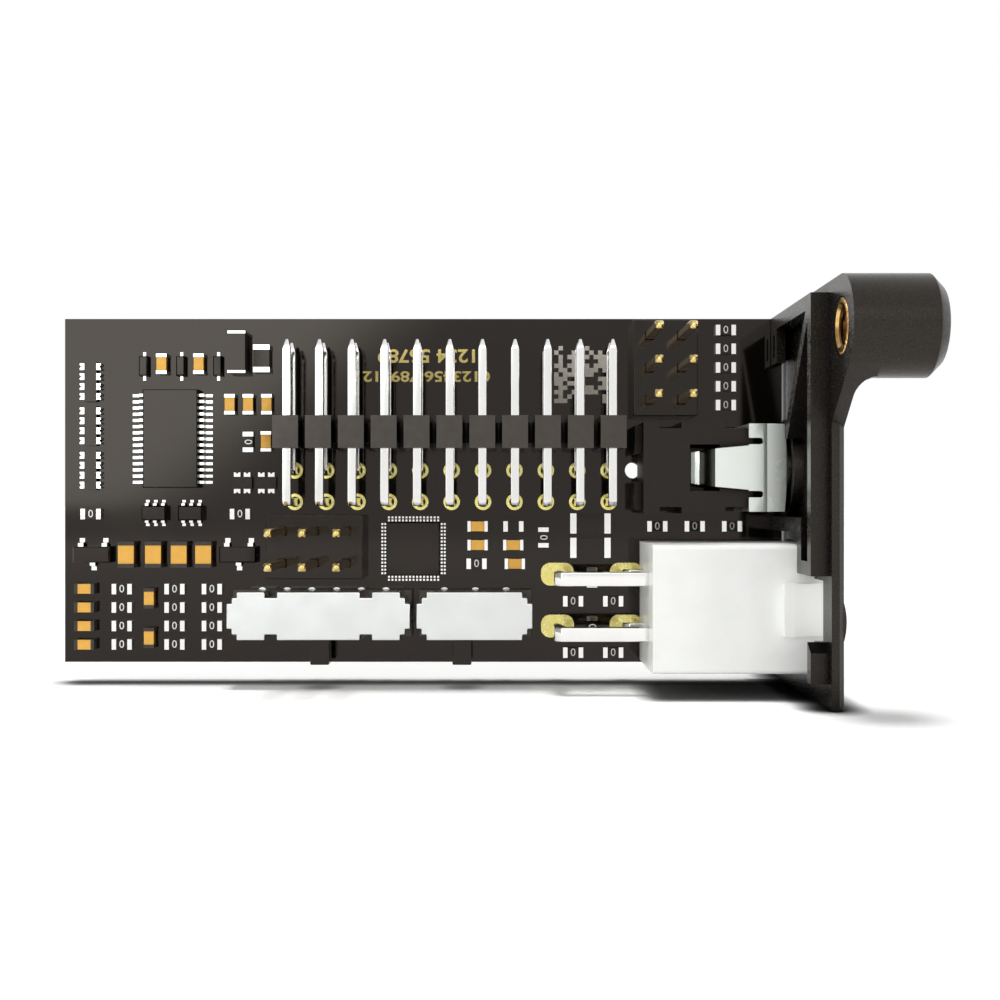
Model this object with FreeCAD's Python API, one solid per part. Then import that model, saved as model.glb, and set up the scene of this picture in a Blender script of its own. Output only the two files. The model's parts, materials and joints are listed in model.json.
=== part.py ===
import FreeCAD, Part
import math
import os

# Millimetres. The card is drawn lying flat and is stood up on export:
# u runs along the board to the end bracket, v up the board, h out of its component face.
# u and v start at the board's lower left corner, h at the component face.

V = FreeCAD.Vector

# board
board_length = 58.0
board_width = 27.75
board_thick = 1.6
tail_out = 1.2

# pin headers
pitch = 2.54
pin = 0.64
pin_taper = 0.8
slot_play = 0.03
long_ways = 11
long_u = 18.59
long_row_v = 12.95
long_body_v = 17.12
long_tip_v = 25.64
long_row_h = 1.63
long_groove = 0.52
long_groove_deep = 2.2
stack_body_h = 2.54
stack_tip_h = 9.8
stack_edge = 4.2
stack_tip = 0.18
stack_a = (48.29, board_width - stack_edge)
stack_b = (20.51, 9.38)

# four-way power socket
power_pitch = 4.2
power_wide = 9.6
power_v = 5.0
power_back_u = 46.5
power_top_h = 9.75
power_wall = 0.9
power_web = 0.7
power_floor = 2.2
power_pin = 1.07
power_row_h = 2.7
power_pad_far_u = 39.85
power_pad_near_u = 45.4
power_tip_back = 2.0
ramp_wide = 3.9
ramp_long = 2.9
ramp_high = 0.9

# jack
jack_v = 15.6
jack_axis_h = 2.55
jack_back_u = 46.3
jack_step_u = 54.3
jack_front_u = 57.5
jack_wide = 7.1
jack_nose_wide = 6.2
jack_high = 5.0
jack_nose_r = 2.5
jack_bore_r = 1.8
jack_bore_long = 4.6
jack_inside = 4.6
jack_floor = 0.7
jack_roof = 0.5
jack_notch = 0.5
jack_notch_long = 1.7
window_back = 3.6
window_long = 2.3
window_wide = 3.6
contact_wide = 0.9
contact_top_h = 1.2
leaf_top_h = 2.2
leaf = 0.2
clip_thick = 0.3
clip_wide = 6.8
clip_back = 0.1
clip_flat = 1.1
clip_drop = 0.8
clip_bulge = 0.22
clip_slot = 0.5
clip_slot_v = 2.05
tongue_root = 3.58
tongue_bend = 2.94
tongue_tip = 2.4
peg_hole_u = 45.96
peg_hole_r = 0.65

# slide switches
switch_v = 4.015
switch_wide = 3.77
switch_high = 3.85
switch_flange = 1.15
switch_sheet = 0.35
switch_fit = 0.03
lever_wide = 1.5
lever_low_h = 1.4
lever_top_h = 3.0
lever_tip_v = 0.1
lever_play = 0.15
lever_carriage = 4.4
crimp_wide = 0.96
crimp_deep = 0.45
corner_long = 0.79
selector_u = 20.98
selector_length = 14.35
selector_crimp = 7.44
selector_travel = 2.0
selector_offset = 0.0
selector_ways = 6
selector_step = 2.0
switch_gap = 0.505
mode_length = 9.08
mode_travel = 1.0
mode_offset = -1.0
mode_ways = 3
mode_step = 2.5
tail_row = 1.62
tail_wide = 0.5
tail_thick = 0.3

# chips
top_row_edge = 3.7
chip_long = 1.62
chip_wide = 0.84
chip_end = 0.26
resistor_end = 0.36
resistor_high = 0.5
capacitor_high = 0.8
large_long = 2.1
large_wide = 1.32
large_high = 1.1
diode_long = 1.6
diode_wide = 0.7
diode_foot = 0.34
array_body_wide = 0.98
array_high = 0.48
array_step = 0.8
array_end = 0.35
array_end_wide = 0.52
array_notch = 0.13
foot_thick = 0.12
lead_shoulder = 0.4
lead_drop = 0.1

# end bracket
plate_gap = 0.4
plate_thick = 0.95
plate_back_h = -6.5
plate_front_h = 15.3
plate_foot = 1.75
plate_over = 0.75
wall = 1.1
wall_deep = 1.3
wall_front_h = 14.5
lip_rise = 0.7
board_play = 0.1
boss_h = 17.9
boss_r = 3.55
boss_long = 6.6
boss_chamfer = 0.8
boss_flare = 1.2
ear_foot = 3.2
tab_long = 2.7
tab_thick = 0.7
tab_low_h = 0.2
tab_high_h = 2.4
bead_r = 5.0
bead_out = 0.2
bead_high = 1.5
insert_r = 2.05
insert_bore_r = 1.25
insert_long = 5.0
fit = 0.15

plate_u = board_length + plate_gap
outer_u = plate_u + plate_thick
wall_u = plate_u - wall_deep
power_front_u = outer_u - 0.05
board_back_h = -board_thick
tail_h = board_back_h - tail_out
mode_u = selector_u + (selector_length + mode_length) / 2 + switch_gap
window_back_u = jack_back_u + window_back
clip_start_u = jack_step_u + clip_back
clip_roll_u = clip_start_u + clip_flat
roll_long = jack_front_u - clip_roll_u
roll_r = (roll_long ** 2 + clip_drop ** 2) / (2 * clip_drop)
wall_top_v = board_width
plate_top_v = board_width + plate_over
boss_v = plate_top_v - boss_r

# the card stands on the plate's lower edge, with the origin under the middle of its box
middle_u = (plate_u + boss_long) / 2
middle_h = (boss_h + boss_r + plate_back_h) / 2


def stand(shape):
    placed = shape.copy()
    placed.rotate(V(0, 0, 0), V(1, 0, 0), 90)
    placed.translate(V(-middle_u, middle_h, plate_foot))
    return placed


def keep(name, solids):
    stand(Part.makeCompound(solids)).exportStep("parts/" + name + ".step")


def block(u0, u1, v0, v1, h0, h1):
    return Part.makeBox(u1 - u0, v1 - v0, h1 - h0, V(u0, v0, h0))


def centred(u, v, length, width, h0, h1):
    return block(u - length / 2, u + length / 2, v - width / 2, v + width / 2, h0, h1)


def face(corners):
    return Part.Face(Part.makePolygon(corners + corners[:1]))


def across_v(profile, v0, v1):
    return face([V(u, v0, h) for u, h in profile]).extrude(V(0, v1 - v0, 0))


def across_u(profile, u0, u1):
    return face([V(u0, v, h) for v, h in profile]).extrude(V(u1 - u0, 0, 0))


def across_h(profile, h0, h1):
    return face([V(u, v, h0) for u, v in profile]).extrude(V(0, 0, h1 - h0))


def upright(u, v, radius, h0, h1):
    return Part.makeCylinder(radius, h1 - h0, V(u, v, h0), V(0, 0, 1))


def along_u(v, h, radius, u0, u1):
    return Part.makeCylinder(radius, u1 - u0, V(u0, v, h), V(1, 0, 0))


def spread(middle, count, step):
    return [middle + (i - (count - 1) / 2) * step for i in range(count)]


def long_pins_u():
    return [long_u + i * pitch for i in range(long_ways)]


def stack_pins(centre, columns, rows):
    return [(u, v) for u in spread(centre[0], columns, pitch) for v in spread(centre[1], rows, pitch)]


def power_rows_v():
    return spread(power_v, 2, power_pitch)


def switch_tail_spots(middle, ways, step):
    rows = (switch_v - tail_row, switch_v + tail_row)
    return [(u, v) for u in spread(middle, ways, step) for v in rows]


def jack_tail_spots():
    side = jack_wide / 2 - jack_notch + clip_thick / 2
    ends = (jack_back_u + 2.1, jack_step_u - 0.8)
    return [(u, jack_v + s * side) for u in ends for s in (-1, 1)]


def leaf_spots():
    u = window_back_u + window_long / 2
    return [(u, jack_v + s * (jack_inside / 2 - leaf)) for s in (-1, 1)]


def clip_leg_spots():
    u = (jack_step_u + jack_front_u) / 2
    return [(u, jack_v + s * (clip_wide - clip_thick) / 2) for s in (-1, 1)]


def circuit_board():
    board = block(0, board_length, 0, board_width, board_back_h, 0)
    cuts = [upright(peg_hole_u, jack_v - 0.1, peg_hole_r, board_back_h, 0)]
    square = [(u, v) for u in long_pins_u() for v in (long_row_v, long_row_v + pitch)]
    square += stack_pins(stack_a, 2, 3) + stack_pins(stack_b, 3, 2)
    side = pin + 2 * slot_play
    for u, v in square:
        cuts.append(centred(u, v, side, side, board_back_h, 0))
    side = power_pin + 2 * slot_play
    for u in (power_pad_far_u, power_pad_near_u):
        for v in power_rows_v():
            cuts.append(centred(u, v, side, side, board_back_h, 0))
    flat = switch_tail_spots(selector_u, selector_ways, selector_step)
    flat += switch_tail_spots(mode_u, mode_ways, mode_step)
    for u, v in flat:
        cuts.append(centred(u, v, tail_wide + 2 * slot_play, tail_thick + 2 * slot_play, board_back_h, 0))
    for u, v in jack_tail_spots() + clip_leg_spots():
        cuts.append(centred(u, v, contact_wide + 2 * slot_play, clip_thick + 2 * slot_play, board_back_h, 0))
    for u, v in leaf_spots():
        cuts.append(centred(u, v, contact_wide + 2 * slot_play, leaf + 2 * slot_play, board_back_h, 0))
    return [board.cut(Part.makeCompound(cuts))]


def bent_pin(u, row_h, down_v):
    """A square pin lying along v, tapered at its tip and bent down through the board."""
    half = pin / 2
    bend = 0.35
    profile = [
        (long_tip_v, row_h - 0.1),
        (long_tip_v, row_h + 0.1),
        (long_tip_v - pin_taper, row_h + half),
        (down_v - half + bend, row_h + half),
        (down_v - half, row_h + half - bend),
        (down_v - half, tail_h),
        (down_v + half, tail_h),
        (down_v + half, row_h - half),
        (long_tip_v - pin_taper, row_h - half),
    ]
    shank = across_u(profile, u - half, u + half)
    start = long_tip_v - pin_taper
    taper = across_h(
        [(u - half, down_v - 1), (u + half, down_v - 1), (u + half, start), (u + 0.1, long_tip_v),
         (u - 0.1, long_tip_v), (u - half, start)],
        tail_h, row_h + half)
    return shank.common(taper)


def long_header_pins(row):
    row_h = long_row_h + row * pitch
    down_v = long_row_v + (1 - row) * pitch
    return [bent_pin(u, row_h, down_v) for u in long_pins_u()]


def long_header_body():
    """One moulding: a thin comb of cells joined by a spine, with a square bore for each pin."""
    top_h = long_row_h + 1.5 * pitch - 0.32
    cells = None
    for u in long_pins_u():
        half = (pitch - long_groove) / 2
        cell = block(u - half, u + half, long_body_v, long_body_v + pitch, 0, top_h)
        cells = cell if cells is None else cells.fuse(cell)
    first = long_pins_u()[0]
    last = long_pins_u()[-1]
    spine_h = top_h - long_groove_deep
    spine = block(first - 1, last + 1, long_body_v + 0.45, long_body_v + pitch - 0.45, 0, spine_h)
    body = cells.fuse(spine)
    bores = []
    for u in long_pins_u():
        for row in (0, 1):
            h = long_row_h + row * pitch
            bores.append(centred(u, long_body_v + pitch / 2, pin, pitch + 1, h - pin / 2, h + pin / 2))
    return [body.cut(Part.makeCompound(bores)).removeSplitter()]


def stack_header_body(centre, columns, rows):
    body = centred(centre[0], centre[1], columns * pitch, rows * pitch, 0, stack_body_h)
    bores = [centred(u, v, pin, pin, 0, stack_body_h) for u, v in stack_pins(centre, columns, rows)]
    return [body.cut(Part.makeCompound(bores))]


def straight_pin(u, v):
    shank = centred(u, v, pin, pin, tail_h, stack_tip_h)
    return shank.makeChamfer(stack_tip, [e for e in shank.Edges if e.BoundBox.ZMin > stack_tip_h - 0.01])


def stack_header_pins(centre, columns, rows):
    return [straight_pin(u, v) for u, v in stack_pins(centre, columns, rows)]


def power_housing():
    """Four keyed pockets open to the mating face, a latch ramp on top and a closed rear wall."""
    low_v = power_v - power_wide / 2
    high_v = power_v + power_wide / 2
    body = block(power_back_u, power_front_u, low_v, high_v, 0, power_top_h)
    long_edges = [e for e in body.Edges if e.BoundBox.XLength > 5 and e.BoundBox.ZMin > 1]
    body = body.makeFillet(0.4, long_edges)
    ramp = across_v(
        [(power_front_u - 0.3, power_top_h - 0.2), (power_front_u - 0.3, power_top_h),
         (power_front_u - 0.3 - ramp_long * 0.75, power_top_h + ramp_high),
         (power_front_u - 0.3 - ramp_long, power_top_h + ramp_high),
         (power_front_u - 0.3 - ramp_long, power_top_h - 0.2)],
        power_v - ramp_wide / 2, power_v + ramp_wide / 2)
    body = body.fuse(ramp)
    pocket = (power_wide - 2 * power_wall - power_web) / 2
    for v in power_rows_v():
        for row in (0, 1):
            h = power_row_h + row * power_pitch
            hollow = block(power_back_u + power_floor, power_front_u + 1,
                           v - pocket / 2, v + pocket / 2, h - pocket / 2, h + pocket / 2)
            if row == 1:
                keyed = [e for e in hollow.Edges if e.BoundBox.XLength > 5 and e.BoundBox.ZMin > h]
                hollow = hollow.makeChamfer(0.8, keyed)
            body = body.cut(hollow)
            half = power_pin / 2
            body = body.cut(block(power_back_u, power_back_u + power_floor + 0.1,
                                  v - half, v + half, h - half, h + half))
    return [body.removeSplitter()]


def power_terminal(v, row_h, down_u):
    half = power_pin / 2
    bend = 0.5
    tip = power_front_u - power_tip_back
    taper = 0.35
    profile = [
        (tip, row_h - half + taper),
        (tip, row_h + half - taper),
        (tip - 0.8, row_h + half),
        (down_u - half + bend, row_h + half),
        (down_u - half, row_h + half - bend),
        (down_u - half, tail_h),
        (down_u + half, tail_h),
        (down_u + half, row_h - half),
        (tip - 0.8, row_h - half),
    ]
    return across_v(profile, v - half, v + half)


def power_terminals(row):
    down_u = power_pad_far_u if row else power_pad_near_u
    return [power_terminal(v, power_row_h + row * power_pitch, down_u) for v in power_rows_v()]


def jack_body():
    """Bored nose, hollow rear with a roof window, and side notches for the contact tails."""
    half = jack_wide / 2
    rear = block(jack_back_u, jack_step_u, jack_v - half, jack_v + half, 0, jack_high)
    nose_half = jack_nose_wide / 2
    front = block(jack_step_u, jack_front_u, jack_v - nose_half, jack_v + nose_half, 0, jack_high)
    nose = along_u(jack_v, jack_axis_h, jack_nose_r, jack_front_u, outer_u)
    body = rear.fuse(front).fuse(nose)
    for s in (-1, 1):
        lug_v = jack_v + s * 2.2
        body = body.fuse(block(jack_back_u - 0.6, jack_back_u, lug_v - 1.1, lug_v + 1.1, 0, 4.2))
    hollow_end = outer_u - jack_bore_long
    inner = jack_inside / 2
    hollow = block(jack_back_u + 1.2, hollow_end, jack_v - inner, jack_v + inner,
                   jack_floor, jack_high - jack_roof)
    cuts = [hollow, along_u(jack_v, jack_axis_h, jack_bore_r, hollow_end - 0.5, outer_u)]
    cuts.append(centred(window_back_u + window_long / 2, jack_v, window_long, window_wide,
                        jack_high - jack_roof - 0.1, jack_high))
    slope_u, slope_h = clip_roll_point(roll_r - clip_thick, 1)
    slope_end_h = jack_high - (jack_high - slope_h) * roll_long / (slope_u - clip_roll_u)
    slope = [(clip_roll_u, jack_high), (jack_front_u, jack_high), (jack_front_u, slope_end_h)]
    cuts.append(across_v(slope, jack_v - nose_half, jack_v + nose_half))
    for u, v in jack_tail_spots():
        notch_v = jack_v + math.copysign(half - jack_notch / 2, v - jack_v)
        cuts.append(centred(u, notch_v, jack_notch_long, jack_notch, 0, jack_high))
    for u, v in leaf_spots():
        cuts.append(centred(u, v, contact_wide, leaf, 0, jack_floor))
    lead_in = 0.3
    mouth = V(outer_u - lead_in, jack_v, jack_axis_h)
    cuts.append(Part.makeCone(jack_bore_r, jack_bore_r + lead_in, lead_in, mouth, V(1, 0, 0)))
    return [body.cut(Part.makeCompound(cuts)).removeSplitter()]


def jack_contacts():
    solids = [centred(u, v, contact_wide, clip_thick, tail_h, contact_top_h) for u, v in jack_tail_spots()]
    u0 = jack_back_u + 1.6
    u1 = jack_step_u - 0.4
    for u, v in leaf_spots():
        strip = block(u0, u1, v - leaf / 2, v + leaf / 2, jack_floor, leaf_top_h)
        solids.append(strip.fuse(centred(u, v, contact_wide, leaf, tail_h, jack_floor)))
    return solids


def clip_roll_point(radius, share):
    """A point on the clip's front roll, share of the way down, at this distance from the roll's centre."""
    angle = share * math.asin(roll_long / roll_r)
    centre_h = jack_high + clip_thick - roll_r
    return (clip_roll_u + radius * math.sin(angle), centre_h + radius * math.cos(angle))


def clip_section(radius, back_u, high, half):
    """The clip's side outline, flat behind and rolled down at the front, as wide as twice half."""
    v = jack_v - half
    roll = [clip_roll_point(radius, share) for share in (0, 0.5, 1)]
    curve = Part.Arc(*[V(u, v, h) for u, h in roll]).toShape()
    tip_u, tip_h = clip_roll_point(roll_r, 1)
    corners = [roll[2], (tip_u, tip_h), (tip_u, 0), (back_u, 0), (back_u, high), roll[0]]
    if radius == roll_r:
        corners = corners[1:]
    rest = Part.makePolygon([V(u, v, h) for u, h in corners])
    return Part.Face(Part.Wire([curve] + rest.Edges)).extrude(V(0, 2 * half, 0))


def clip_tongue():
    """Tapered tongue that dips through the roof window and turns up at its tip."""
    top = jack_high + clip_thick
    bend_u = window_back_u + 1.9
    tip_u = window_back_u + 0.15
    flat = across_h(
        [(clip_roll_u - 0.2, jack_v - tongue_root / 2), (clip_roll_u - 0.2, jack_v + tongue_root / 2),
         (bend_u, jack_v + tongue_bend / 2), (bend_u, jack_v - tongue_bend / 2)], jack_high, top)
    dip = across_v(
        [(bend_u, top), (tip_u + 0.7, top - 1.25), (tip_u + 0.35, top - 1.25), (tip_u, top - 0.9),
         (tip_u, top - 1.2), (tip_u + 0.3, top - 1.55), (tip_u + 0.8, top - 1.55), (bend_u, jack_high)],
        jack_v - tongue_bend / 2, jack_v + tongue_bend / 2)
    taper = across_h(
        [(tip_u, jack_v - tongue_tip / 2), (tip_u, jack_v + tongue_tip / 2),
         (bend_u, jack_v + tongue_bend / 2), (bend_u, jack_v - tongue_bend / 2)], top - 2, top)
    return [flat, dip.common(taper)]


def jack_earth_clip():
    """Sheet clip: a band with a rolled, bowed front edge, two walls with a leg each, and a tongue."""
    top = jack_high + clip_thick
    half = clip_wide / 2
    clip = clip_section(roll_r, clip_start_u, top, half)
    clip = clip.cut(clip_section(roll_r - clip_thick, clip_start_u, jack_high, half - clip_thick))
    bow_r = (half ** 2 + clip_bulge ** 2) / (2 * clip_bulge)
    clip = clip.common(upright(jack_front_u - bow_r, jack_v, bow_r, 0, top))
    for s in (-1, 1):
        slot_v = jack_v + s * clip_slot_v
        clip = clip.cut(block(clip_start_u, clip_roll_u - clip_slot / 2, slot_v - clip_slot / 2,
                              slot_v + clip_slot / 2, jack_high, top))
        clip = clip.cut(upright(clip_roll_u - clip_slot / 2, slot_v, clip_slot / 2, jack_high, top))
    legs = [centred(u, v, contact_wide, clip_thick, tail_h, 0) for u, v in clip_leg_spots()]
    return [clip.fuse(legs + clip_tongue()).removeSplitter()]


def notched(u0, u1, v0, v1, mids):
    """Plan outline of a switch frame: two steps at each corner and crimp notches along the sides."""
    step = corner_long / 2
    a = u0 + corner_long
    b = u1 - corner_long

    def side(v, s):
        deep = v + s * crimp_deep
        end = v + s * 2 * crimp_deep
        points = [(u0, end), (u0 + step, end), (u0 + step, deep), (a, deep), (a, v)]
        for m in mids:
            near = m - crimp_wide / 2
            far = m + crimp_wide / 2
            points += [(near, v), (near, deep), (far, deep), (far, v)]
        return points + [(b, v), (b, deep), (u1 - step, deep), (u1 - step, end), (u1, end)]

    return side(v0, 1) + side(v1, -1)[::-1]


def switch_box(middle, length):
    return (middle - length / 2, middle + length / 2, switch_v - switch_wide / 2, switch_v + switch_wide / 2)


def lever_gap(middle, travel, width, play):
    return (middle - travel - width / 2 - play, middle + travel + width / 2 + play)


def switch_frame(middle, length, travel, mids):
    u0, u1, v0, v1 = switch_box(middle, length)
    cap = across_h(notched(u0, u1, v0, v1, mids), switch_flange, switch_high)
    inset = switch_sheet + crimp_deep
    end = corner_long + switch_sheet
    hollow = block(u0 + end, u1 - end, v0 + inset, v1 - inset, switch_flange, switch_high - switch_sheet)
    g0, g1 = lever_gap(middle, travel, lever_wide, 0.3)
    gap = block(g0, g1, v0, v0 + inset, switch_flange, lever_top_h + lever_play)
    return [cap.cut(hollow).cut(gap)]


def switch_base(middle, length, travel):
    u0, u1, v0, v1 = switch_box(middle, length)
    flange = block(u0, u1, v0, v1, 0, switch_flange)
    inset = switch_sheet + crimp_deep + switch_fit
    end = corner_long + switch_sheet + switch_fit
    core = block(u0 + end, u1 - end, v0 + inset, v1 - inset, switch_flange, switch_high - switch_sheet)
    c0, c1 = lever_gap(middle, travel, lever_carriage, lever_play)
    pocket = block(max(c0, u0 + end + 0.3), min(c1, u1 - end - 0.3), v0, v1 - inset - 0.3,
                   switch_flange, lever_top_h + lever_play)
    return [flange.fuse(core).cut(pocket)]


def switch_lever(middle, length, offset, carriage):
    u0, u1, v0, v1 = switch_box(middle, length)
    inset = switch_sheet + crimp_deep + switch_fit
    u = middle + offset
    root_v = v0 + inset + 0.3
    stem = block(u - lever_wide / 2, u + lever_wide / 2, lever_tip_v, root_v, lever_low_h, lever_top_h)
    shuttle = block(u - carriage / 2, u + carriage / 2, v0 + inset + 0.15, v1 - inset - 0.3 - lever_play,
                    lever_low_h, lever_top_h)
    return [stem.fuse(shuttle).removeSplitter()]


def switch_tails(middle, ways, step):
    spots = switch_tail_spots(middle, ways, step)
    return [centred(u, v, tail_wide, tail_thick, tail_h, 0) for u, v in spots]


def chip(u, v, length, width, high, end, turned):
    """A leadless chip: the body and its two plated ends, lying along u or turned along v."""
    if turned:
        body = centred(u, v, width - 0.06, length - 2 * end, 0, high - 0.03)
        ends = [centred(u, v + s * (length - end) / 2, width, end, 0, high) for s in (-1, 1)]
    else:
        body = centred(u, v, length - 2 * end, width - 0.06, 0, high - 0.03)
        ends = [centred(u + s * (length - end) / 2, v, end, width, 0, high) for s in (-1, 1)]
    return body, ends


def chips(spots, length, width, high, end):
    bodies = []
    ends = []
    for u, v, turned in spots:
        body, pair = chip(u, v, length, width, high, end, turned)
        bodies.append(body)
        ends += pair
    return bodies, ends


def resistor_spots():
    spots = [(u, 1.46 + 1.487 * i, 0) for u in (4.72, 8.97, 11.98) for i in range(4)]
    spots += [(2.21, 11.97, 0), (14.24, 11.97, 0), (33.31, 7.96, 0), (36.28, 10.97, 0)]
    spots += [(u, v, 0) for u in (41.09, 44.32) for v in (0.8, 4.94)]
    spots += [(53.4, board_width - 0.95 - 1.512 * i, 0) for i in range(5)]
    spots += [(47.88 + 3.01 * i, 10.98, 0) for i in range(3)]
    spots += [(14.89, 17.78, 1), (38.7, 10.08, 1), (42.62, 6.86, 1), (42.62, 2.91, 1)]
    return spots


def capacitor_spots():
    spots = [(u, board_width - top_row_edge, 1) for u in (7.98, 10.97)]
    spots += [(16.38, 17.81, 1), (6.97, 5.19, 1), (6.97, 2.01, 1)]
    spots += [(13.46 + 1.485 * i, 20.8, 1) for i in range(3)]
    spots += [(1.77, 1.47 + 1.497 * i, 0) for i in range(4)]
    spots += [(33.4, 10.98, 0), (33.4, 9.48, 0), (36.26, 9.48, 0), (36.39, 7.97, 0)]
    return spots


def large_capacitor_spots():
    return [(u, 8.72, 1) for u in (5.2, 7.38, 9.44, 11.4)]


def lead(edge, foot, seat, thick, high):
    """Profile of a bent lead: a flat shoulder at the body's edge, a short drop and a flat foot."""
    s = math.copysign(1, foot - edge)
    bend = edge + (foot - edge) * lead_shoulder
    heel = bend + s * lead_drop
    return [(edge, high), (bend, high), (heel, seat + thick), (foot, seat + thick), (foot, seat),
            (heel - s * thick, seat), (bend - s * thick, high - thick), (edge, high - thick)]


def converter():
    u, v = 8.75, 18.03
    long, wide, span, step = 7.9, 4.4, 6.45, 0.5
    body = centred(u, v, wide, long, 0.1, 1.1)
    top = [e for e in body.Edges if e.BoundBox.ZMin > 1.09]
    body = body.makeChamfer(0.08, top)
    seat = centred(u, v, wide * 0.6, long * 0.7, 0, 0.1)
    leads = []
    for y in spread(v, 15, step):
        for s in (-1, 1):
            profile = lead(u + s * wide / 2, u + s * span / 2, 0, foot_thick, 0.62)
            leads.append(across_v(profile, y - 0.11, y + 0.11))
    return [body.fuse(seat)], leads


def processor():
    u, v = 28.21, 9.17
    side, span, count, step = 4.3, 5.2, 15, 0.284
    body = centred(u, v, side, side, 0, 1.0)
    body = body.makeChamfer(0.08, [e for e in body.Edges if e.BoundBox.ZMin > 0.99])
    reach = (side + span) / 4
    long = (span - side) / 2
    leads = []
    for i in spread(0, count, step):
        for s in (-1, 1):
            leads.append(centred(u + s * reach, v + i, long, 0.15, 0, foot_thick))
            leads.append(centred(u + i, v + s * reach, 0.15, long, 0, foot_thick))
    return [body], leads


def notched_end(u, v, s, turned, high):
    """One plated end of an array, with a notch in its outer side."""
    half = array_end_wide / 2
    near = array_body_wide / 2
    far = near + array_end
    outline = [(near, -half), (far, -half), (far, -array_notch), (far - array_notch, 0), (far, array_notch),
               (far, half), (near, half)]
    if turned:
        return across_h([(u + b, v + s * a) for a, b in outline], 0, high)
    return across_h([(u + s * a, v + b) for a, b in outline], 0, high)


def arrays():
    bodies = []
    ends = []
    for v in (22.64, 19.08, 15.5):
        bodies.append(centred(2.19, v, array_body_wide, 3.2, 0, array_high))
        for y in spread(v, 4, array_step):
            ends += [notched_end(2.19, y, s, 0, array_high + 0.03) for s in (-1, 1)]
    return bodies, ends


def pair_arrays():
    bodies = []
    ends = []
    for u in (14.42, 16.37):
        bodies.append(centred(u, 14.48, 1.55, array_body_wide, 0, array_high))
        for x in spread(u, 2, array_step):
            ends += [notched_end(x, 14.48, s, 1, array_high + 0.03) for s in (-1, 1)]
    return bodies, ends


def moulded(u, v, length, width, high):
    body = centred(u, v, length, width, 0, high)
    return body.makeChamfer(0.1, [e for e in body.Edges if e.BoundBox.ZMin > high - 0.01])


def small_transistors():
    bodies = []
    leads = []
    for u in (2.39, 14.15):
        bodies.append(moulded(u, 8.72, 2.95, 1.3, 1.05))
        for du, s in ((-0.95, 1), (0.95, 1), (0, -1)):
            profile = lead(8.72 + s * 0.65, 8.72 + s * 1.3, 0, foot_thick, 0.6)
            leads.append(across_u(profile, u + du - 0.21, u + du + 0.21))
    return bodies, leads


def dual_transistors():
    bodies = []
    leads = []
    for u in (7.38, 10.31):
        bodies.append(moulded(u, 12.05, 1.95, 1.2, 0.95))
        for x in spread(u, 3, 0.65):
            for s in (-1, 1):
                profile = lead(12.05 + s * 0.6, 12.05 + s * 1.05, 0, foot_thick, 0.5)
                leads.append(across_u(profile, x - 0.14, x + 0.14))
    return bodies, leads


def diodes():
    bodies = []
    leads = []
    v = board_width - top_row_edge - 0.15
    for u in (6.47, 9.47, 12.45):
        bodies.append(moulded(u, v, diode_wide, diode_long, 0.65))
        seat_v = (diode_long + diode_foot) / 2
        leads += [centred(u, v + s * seat_v, 0.22, diode_foot, 0, foot_thick) for s in (-1, 1)]
    return bodies, leads


def ear_face(u):
    """The boss's round end and the sloping edge that runs from it, tangent, to the plate."""
    foot = (boss_v - boss_r - ear_foot, plate_front_h - 0.4)
    away_v = foot[0] - boss_v
    away_h = foot[1] - boss_h
    turn = math.atan2(away_h, away_v) % (2 * math.pi) - math.acos(boss_r / math.hypot(away_v, away_h))

    def rim(angle):
        return V(u, boss_v + boss_r * math.cos(angle), boss_h + boss_r * math.sin(angle))

    back_h = plate_front_h - 2
    corners = [foot, (foot[0], back_h), (plate_top_v, back_h)]
    rest = Part.makePolygon([rim(turn)] + [V(u, v, h) for v, h in corners] + [rim(0)])
    return Part.Face(Part.Wire([Part.Arc(rim(0), rim(turn / 2), rim(turn)).toShape()] + rest.Edges))


def boss_web():
    """Concave web under the boss, as wide as the ear."""
    low = boss_v - boss_r
    turn = boss_flare * (1 - math.sqrt(0.5))
    far = outer_u + boss_flare
    curve = Part.Arc(V(outer_u, low - boss_flare, 0), V(outer_u + turn, low - turn, 0), V(far, low, 0))
    corners = [(far, low), (far, low + 1), (outer_u, low + 1), (outer_u, low - boss_flare)]
    rest = Part.makePolygon([V(u, v, 0) for u, v in corners])
    web = Part.Face(Part.Wire([curve.toShape()] + rest.Edges)).extrude(V(0, 0, boss_h + boss_r))
    return web.common(ear_face(outer_u).extrude(V(boss_flare, 0, 0)))


def plate_and_boss():
    corners = [(-plate_foot, plate_back_h), (-plate_foot, plate_front_h), (plate_top_v, plate_front_h),
               (plate_top_v, plate_back_h)]
    plate = across_u(corners, plate_u, outer_u)
    plate = plate.makeChamfer(0.4, [e for e in plate.Edges if e.BoundBox.XMin > outer_u - 0.01])
    ear = ear_face(plate_u).extrude(V(plate_thick, 0, 0))
    end_u = plate_u + boss_long
    boss = along_u(boss_v, boss_h, boss_r, outer_u, end_u)
    boss = boss.makeChamfer(boss_chamfer, [e for e in boss.Edges if e.BoundBox.XMin > end_u - 0.01])
    return plate.fuse([ear, boss, boss_web()])


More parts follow.
